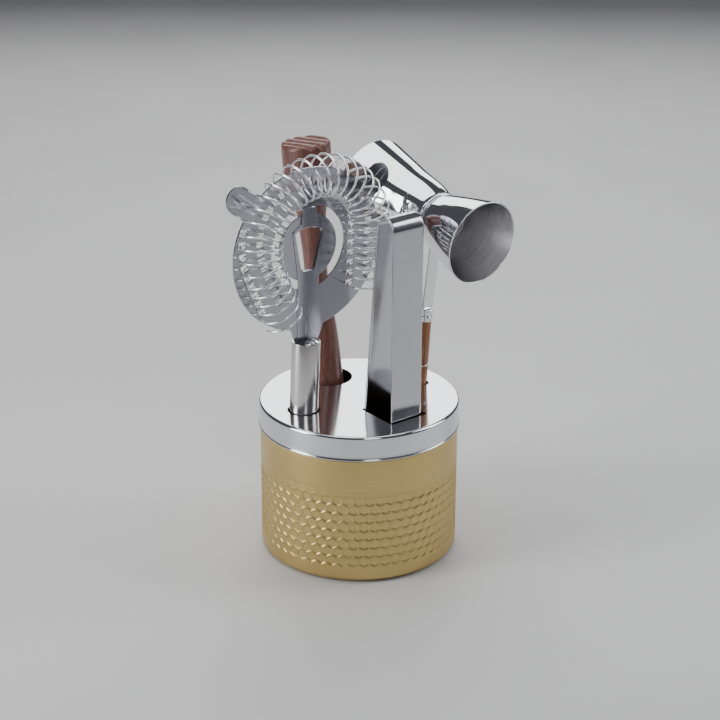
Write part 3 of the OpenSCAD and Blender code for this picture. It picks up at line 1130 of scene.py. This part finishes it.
@dataclass(frozen=True)
class Muddler:
    """The turned wooden muddler, head up."""

    place: Place = Place((-19.4, 27.0, 87.0), -1.3, -4.2)
    foot: float = -83.9
    top: float = 136.5
    head: float = 13.4
    ridge_turn: float = 53.0
    ridge_pitch: float = 5.6
    ridge_depth: float = 2.2

    def toothed(self, points: Array, angle: Array) -> Array:
        """Cut the head's parallel grooves: the crown sinks by a rounded wave across the ridges.

        Args:
            points: points in the muddler's frame.
            angle: their angles, not used here.

        Returns:
            The changed points.
        """
        c, s = np.cos(radians(self.ridge_turn)), np.sin(radians(self.ridge_turn))
        across = points[..., 0] * c + points[..., 1] * s
        wave = np.abs(np.sin(np.pi * (across / self.ridge_pitch + 0.5))) ** 0.6
        crown = step_between(self.top - 5.0, self.top - 1.0, points[..., 2])
        lowered = points[..., 2] - self.ridge_depth * (1.0 - wave) * crown
        return np.stack([points[..., 0], points[..., 1], lowered], -1)

    def pieces(self, finishes: Finishes) -> list[Piece]:
        """Build the muddler.

        Args:
            finishes: the finishes of the set.

        Returns:
            The piece.
        """
        body = curve([(11.6, self.foot + 4.0), (11.4, -50.0), (10.3, 0.0), (8.6, 33.0),
                      (6.8, 48.0), (6.3, 58.0), (6.5, 70.0), (7.4, 86.0), (8.9, 99.0),
                      (11.4, 104.0), (12.9, 108.0), (self.head, 115.0),
                      (self.head, 124.0)], 140)
        profile = np.concatenate([
            line((0.0, self.foot), (8.6, self.foot), n=3),
            arc((8.6, self.foot + 3.0), 3.0, -80, -6, 8), body,
            line((self.head, 124.4), (self.head, self.top - 2.0), n=24),
            arc((self.head - 1.8, self.top - 1.8), 1.8, 4, 90, 10),
            line((self.head - 2.2, self.top), (0.0, self.top), n=40)])
        wood = Surface()
        wood.turned(profile, self.place, 192, shape=self.toothed)
        dark = finishes.muddler.material()
        return pieces_of("muddler", [(wood, "muddler_wood", dark, "dark_wood", "muddler")], 50.0)


@dataclass(frozen=True)
class Tongs:
    """Spring tongs bent from one strip: half of the bow and one leg make a piece."""

    place: Place = Place((18.0, -21.5, 87.0), 2.1, 1.64, -52.0)
    bow_z: float = 106.2
    radius: float = 7.0
    sheet: float = 1.2
    width: float = 20.0
    splay: float = 2.66
    length: float = 189.4
    bend_at: float = 104.0
    bend_in: float = 5.2
    claw: float = 2.95

    def path(self) -> Array:
        """Outer face of one half in x and z, from the bow's top to the claw.

        Returns:
            (n, 2) points.
        """
        a = np.radians(np.linspace(90.0, 0.0, 25))
        bow = np.stack([self.radius * np.cos(a), self.radius * np.sin(a)], -1)
        deep = np.concatenate([np.linspace(2.0, self.bend_at - 6.0, 40),
                               np.linspace(self.bend_at - 4.0, self.length - 3.0, 60)])
        inward = np.where(deep > self.bend_at,
                          self.bend_in * (deep - self.bend_at) / (self.length - self.bend_at), 0.0)
        kernel = np.ones(5) / 5
        inward[3:-3] = np.convolve(inward, kernel, "same")[3:-3]
        leg = np.stack([self.radius - inward, -deep], -1)
        tip = self.radius - self.bend_in
        hook = arc((tip - 2.4, -self.length + 2.0), 2.4, 0, -90, 8)
        claw = np.array([(tip - self.sheet - self.claw + 1.2, -self.length - 0.4)])
        return np.concatenate([bow, leg, hook, claw])

    def pieces(self, finishes: Finishes) -> list[Piece]:
        """Build the two halves.

        Args:
            finishes: the finishes of the set.

        Returns:
            The pieces.
        """
        steel = finishes.strip.material()
        found = []
        for body, node, yaw in (("tongs_near", "tongs_near_leg", 0.0),
                                ("tongs_far", "tongs_far_leg", 180.0)):
            centre = self.place.along(z=self.bow_z)
            at = Place(centre.origin, centre.lean_front, centre.lean_right, centre.yaw + yaw)
            path = self.path()
            s = radians(self.splay)
            weight = np.clip(1.0 - np.degrees(np.arctan2(path[:, 1], path[:, 0])) / 90.0, 0.0, 1.0)
            tilt = s * weight
            path = np.stack([path[:, 0] * np.cos(tilt) - path[:, 1] * np.sin(tilt),
                             path[:, 0] * np.sin(tilt) + path[:, 1] * np.cos(tilt)], -1)
            ahead = np.gradient(path, axis=0)
            ahead /= np.linalg.norm(ahead, axis=1, keepdims=True)
            inward = np.stack([ahead[:, 1], -ahead[:, 0]], -1)
            inward[0] = (0.0, -1.0)
            teeth = 0.9 * np.abs(np.mod(np.linspace(0.0, 5.0, 61), 1.0) - 0.5) * 2 - 0.9
            surface = strip(path, inward, self.width, self.sheet, 0.35, at, teeth)
            shape = surface.build(node + "_strip", [steel])
            top = at(np.array([0.0, 0.0, 3.0])) * MM
            low = at(np.array([0.0, 0.0, -14.0])) * MM
            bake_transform(shape, "tongs", body, tuple(top), tuple(low))
            nodes = (node, "tongs_bow") if yaw == 0.0 else (node,)
            found.append(Piece(shape, body, "tongs_steel", nodes))
        return found


@dataclass(frozen=True)
class Jigger:
    """The double jigger on its wooden grip."""

    grip_place: Place = Place((33.85, 18.9, 87.0), 0.2, 3.2)
    arm_place: Place = Place((37.1, 18.7, 130.9), 4.42, 5.38, -50.3)
    arm_up: float = 54.0
    arm_width: float = 7.0
    arm_sheet: float = 1.6
    small: Pair = (23.0, 35.3)
    large: Pair = (25.3, 55.2)
    waist: float = 14.5
    wall: float = 0.7
    ring: float = 1.0
    foot: float = -84.2
    grip_radius: float = 3.75
    grip_top: float = 37.5
    ferrule_top: float = 44.5
    band: float = 11.0

    def lying(self, facing: float) -> Mover:
        """Lay the axis of turned points across the arm, at the middle of the waist.

        Args:
            facing: 1 towards local +x, -1 towards local -x.

        Returns:
            A function from local points to the row frame.
        """
        centre = self.arm_place.along(z=self.arm_up)
        return lambda p: centre(
            np.stack([facing * p[..., 2], p[..., 1], -facing * p[..., 0]], -1))

    def measure(self, name: str, mouth: float, length: float, facing: float,
                finishes: Sequence[Material]) -> bpy.types.Object:
        """One conical cup: polished outside, brushed inside, with a rolled lip.

        Args:
            name: name of the object.
            mouth: mouth radius.
            length: length from the waist's middle.
            facing: 1 towards local +x, -1 towards local -x.
            finishes: outside and inside material.

        Returns:
            The object.
        """
        place = self.lying(facing)
        w, t = self.waist, self.wall
        cup = Surface()
        outside = np.concatenate([
            [(0.0, self.ring), (w - 1.2, self.ring), (w - 0.8, self.ring + 0.1)],
            curve([(w - 0.35, self.ring + 0.5), (w + 0.1, self.ring + 1.6),
                   (w + 0.09 * (mouth - w) + 0.1, self.ring + 4.0),
                   (w + 0.5 * (mouth - w) + 0.1, 0.5 * length), (mouth, length - 0.4)], 40)])
        cup.turned(outside, place, 180)
        cup.turned(arc((mouth - 0.35, length - 0.35), 0.35, 0, 180, 9), place, 180)
        inside = np.concatenate([
            line((mouth - t, length - 0.4), (w - t + 0.5, self.ring + 4.0), n=30),
            arc((w - t - 2.4, self.ring + 3.6), 2.6, 0, -90, 10), line((6.0, 1.95), (0.0, 1.9))])
        inside[:, 1] = np.maximum(inside[:, 1], self.ring + 0.7)
        cup.turned(inside, place, 180, slot=1)
        return cup.build(name, finishes, 40.0)

    def pieces(self, finishes: Finishes) -> list[Piece]:
        """Build the jigger.

        Args:
            finishes: the finishes of the set.

        Returns:
            The pieces.
        """
        mirror, brushed = finishes.mirror.material(), finishes.brushed.material()
        w = self.waist
        bead = revolved([(0.0, -0.95), (w - 0.9, -0.95)], arc((w - 0.55, 0.0), 0.85, -80, 80, 14),
                        [(w - 0.9, 0.95), (0.0, 0.95)], place=self.lying(1.0), steps=180)
        z = np.concatenate([np.linspace(-self.arm_up - 1.5, -w - 6.0, 12),
                            np.linspace(-w - 5.0, -w - 0.35, 8)])
        path = np.stack([np.full_like(z, self.arm_sheet / 2), z], -1)
        arm = strip(path, np.tile([-1.0, 0.0], (len(z), 1)), self.arm_width, self.arm_sheet, 0.4,
                    self.arm_place.along(z=self.arm_up))
        low, up = self.grip_top, self.ferrule_top
        at = {"place": self.grip_place, "steps": 72}
        upper, lower = (revolved(
            [(0.0, a), (3.5, a)], arc((3.5, a + 0.6), 0.6, -60, 0, 5),
            arc((3.5, b - 0.6), 0.6, 0, 70, 6), [(3.2, b), (0.0, b)], **at)
            for a, b in ((low + 3.55, up), (low, low + 3.45)))
        r, band = self.grip_radius, self.band
        body = curve([(3.3, self.foot + 2.3), (4.1, self.foot + 22.0), (3.9, -20.0), (r, 0.0),
                      (r, band - 0.5)], 60)
        grip = revolved(
            [(0.0, self.foot + 2.25)], body,
            line((r - 0.25, band - 0.1), (r - 0.35, band + 0.05), (r - 0.35, band + 0.95),
                 (r, band + 1.5), (r, 24.0), (r - 0.05, 30.0), (r, low - 0.05)),
            [(0.0, low - 0.02)], **at)
        inlay = revolved(
            arc((r - 0.2, band + 0.5), 0.35, -90, 90, 9),
            [(r - 0.33, band + 0.85), (r - 0.33, band + 0.15), (r - 0.2, band + 0.15)], **at)
        cap = revolved(
            [(0.0, self.foot - 0.2)], arc((1.4, self.foot + 1.8), 2.0, -90, 0, 8),
            [(3.4, self.foot + 2.2), (0.0, self.foot + 2.2)], **at)
        wood = finishes.grip.material()
        cups = [Piece(self.measure("measure_" + size, *shape, facing, [mirror, brushed]), "jigger",
                      "jigger_steel", (f"jigger_{size}_cup",))
                for size, shape, facing in (("large", self.large, -1.0), ("small", self.small, 1.0))]
        head = pieces_of("jigger", [
            (bead, "waist_bead", mirror, "ring_steel", "jigger_waist_ring"),
            (arm, "arm_strap", mirror, "jigger_steel", "jigger_arm"),
            (upper, "ferrule_upper", mirror, "ring_steel", "jigger_ferrule_upper"),
            (lower, "ferrule_lower", mirror, "ring_steel", "jigger_ferrule_lower")])
        handle = pieces_of("jigger", [(grip, "grip", wood, "grip_wood", "jigger_grip")], 40.0)
        ends = pieces_of("jigger", [
            (inlay, "grip_inlay", mirror, "band_metal", "jigger_grip_band"),
            (cap, "grip_end", mirror, "ring_steel", "jigger_grip_cap")])
        return cups + head + handle + ends


# ---- Studio --------------------------------------------------------------


@dataclass(frozen=True)
class Lamp:
    """A soft area light."""

    name: str
    place: Triple
    size: Pair
    power: float
    tint: Triple = (1.0, 1.0, 1.0)

    def build(self, target: Vector) -> None:
        """Add the light, aimed at a point.

        Args:
            target: where it is aimed, in metres.
        """
        data = bpy.data.lights.new(self.name, "AREA")
        data.shape = "RECTANGLE"
        data.size, data.size_y = self.size
        data.energy = self.power
        data.color = self.tint
        lamp = bpy.data.objects.new(self.name, data)
        lamp.location = self.place
        lamp.rotation_euler = (target - Vector(self.place)).to_track_quat("-Z", "Y").to_euler()
        bpy.context.scene.collection.objects.link(lamp)


@dataclass(frozen=True)
class Studio:
    """Floor, lights and camera."""

    target: Triple = (0.0004, 0.0, 0.1083)
    distance: float = 1.09
    pitch: float = 22.6
    roll: float = 0.25
    lens: float = 100.0
    lamps: tuple[Lamp, ...] = (
        Lamp("left", (-0.85, -0.35, 0.45), (0.35, 0.8), 6.5),
        Lamp("right", (0.8, 0.1, 0.6), (0.4, 0.7), 3.6, (0.94, 0.97, 1.0)),
        Lamp("over", (-0.1, 0.15, 1.0), (0.9, 0.7), 5.5),
        Lamp("behind", (0.0, 1.1, 0.6), (1.2, 0.5), 6.0),
        Lamp("front", (0.3, -1.1, 0.85), (0.35, 0.45), 2.2))

    def build(self, finishes: Finishes) -> None:
        """Make the floor, the lights, the world and the camera.

        Args:
            finishes: the finishes of the set.
        """
        mesh = bpy.data.meshes.new("floor")
        mesh.from_pydata([(-5, -5, 0), (5, -5, 0), (5, 5, 0), (-5, 5, 0)], [], [(0, 1, 2, 3)])
        mesh.materials.append(finishes.floor.material())
        floor = bpy.data.objects.new("floor", mesh)
        bpy.context.scene.collection.objects.link(floor)
        floor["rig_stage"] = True
        target = Vector(self.target)
        for lamp in self.lamps:
            lamp.build(target)
        world = bpy.data.worlds.new("studio")
        world.use_nodes = True
        back = world.node_tree.nodes["Background"]
        back.inputs["Color"].default_value = (0.16, 0.16, 0.18, 1.0)
        back.inputs["Strength"].default_value = 0.5
        bpy.context.scene.world = world
        data = bpy.data.cameras.new("camera")
        data.lens, data.sensor_width = self.lens, 36.0
        camera = bpy.data.objects.new("camera", data)
        p = radians(self.pitch)
        camera.location = target + Vector((0.0, -self.distance * np.cos(p),
                                           self.distance * np.sin(p)))
        camera.rotation_euler = (radians(90.0 - self.pitch), 0.0, 0.0)
        camera.rotation_euler.rotate_axis("Z", radians(self.roll))
        bpy.context.scene.collection.objects.link(camera)
        bpy.context.scene.camera = camera


def corners() -> list[list[float]]:
    """The shown object's lowest and highest corner.

    Returns:
        Two lists of three numbers, in metres.
    """
    return [list(map(float, corner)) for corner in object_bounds()]


def main() -> None:
    """Build every sub-assembly in order and hand the scene over."""
    logging.basicConfig(level=logging.INFO, format="%(message)s")
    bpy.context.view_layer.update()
    finishes = Finishes()
    for part in (Caddy(), Lid(), Strainer(), Muddler(), Tongs(), Jigger()):
        for piece in part.pieces(finishes):
            piece.settle()
    Studio().build(finishes)


if __name__ == "__main__":
    main()
